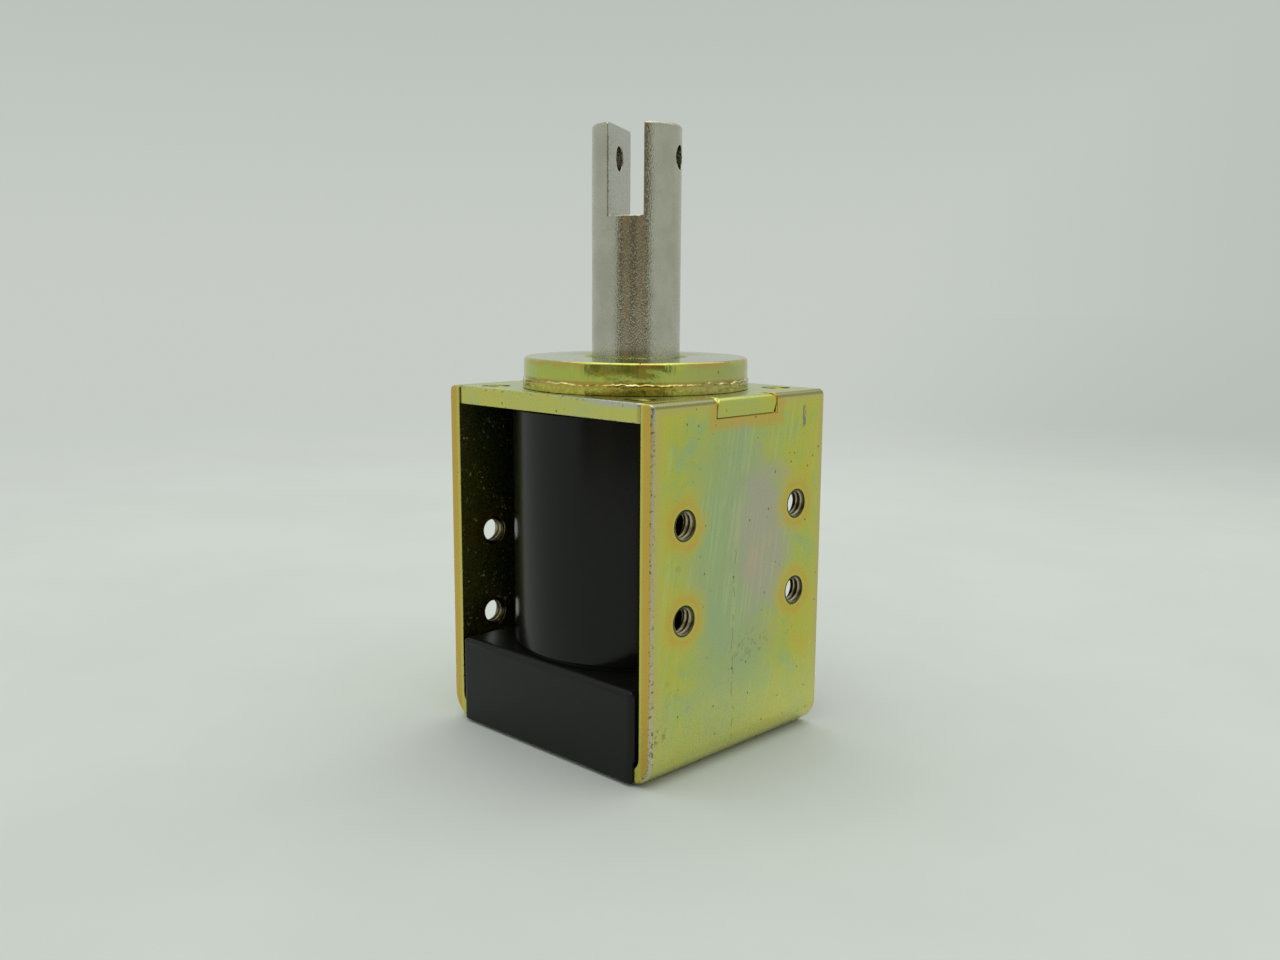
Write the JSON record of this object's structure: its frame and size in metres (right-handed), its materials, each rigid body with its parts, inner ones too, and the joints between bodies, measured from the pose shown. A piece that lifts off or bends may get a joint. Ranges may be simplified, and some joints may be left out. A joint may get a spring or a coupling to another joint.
{
  "type": "push pull solenoid",
  "caption": "Box-frame solenoid: bent steel frame with threaded holes, wound coil, thick flux disc and a round plunger with a clevis end that slides along its axis.",
  "frame": {"origin": "on the plunger's axis, at the flat underside of the frame's web", "axes": "+Z is the way the plunger pulls out, -Y is the frame's open front, the frame's legs stand at -X and +X"},
  "size_m": [0.0412, 0.0446, 0.0872],
  "materials": {
    "frame_zinc": "yellow zinc chromate, iridescent, lightly scratched",
    "plate_zinc": "yellow zinc chromate, pale",
    "disc_zinc": "yellow zinc chromate with a torn punched edge",
    "nickel": "satin nickel plate",
    "bare_steel": "turned steel",
    "brass": "drawn brass",
    "terminal_brass": "stamped brass",
    "copper_wire": "enamelled copper",
    "wrap_film": "polyester film",
    "bobbin_plastic": "moulded nylon",
    "jacket_plastic": "smooth satin black",
    "base_plastic": "satin black moulding",
    "sleeve_plastic": "woven sleeving"
  },
  "bodies": {
    "case": {"frame_bracket": "frame_zinc", "top_plate": "plate_zinc", "flux_disc": "disc_zinc", "pole_piece": "bare_steel", "guide_tube": "brass", "bobbin": "bobbin_plastic", "winding": "copper_wire", "winding_wrap": "wrap_film", "coil_jacket": "jacket_plastic", "spring_washer": "bare_steel", "terminal_base": "base_plastic", "terminal_left": "terminal_brass", "terminal_right": "terminal_brass", "start_lead": "copper_wire", "finish_lead": "copper_wire", "start_sleeve": "sleeve_plastic", "finish_sleeve": "sleeve_plastic"},
    "nose": {"nose_washer": "brass"},
    "rod": {"plunger": "nickel", "nose_rivet": "bare_steel"}
  },
  "joints": [
    {"name": "plunger_slide", "type": "slide", "parent": "case", "child": "nose", "axis": [0, 0, 1], "range_m": [0, 0.0254]},
    {"name": "plunger_spin", "type": "hinge", "parent": "nose", "child": "rod", "pos_m": [0, 0, 0.05], "axis": [0, 0, 1], "continuous": true}
  ]
}
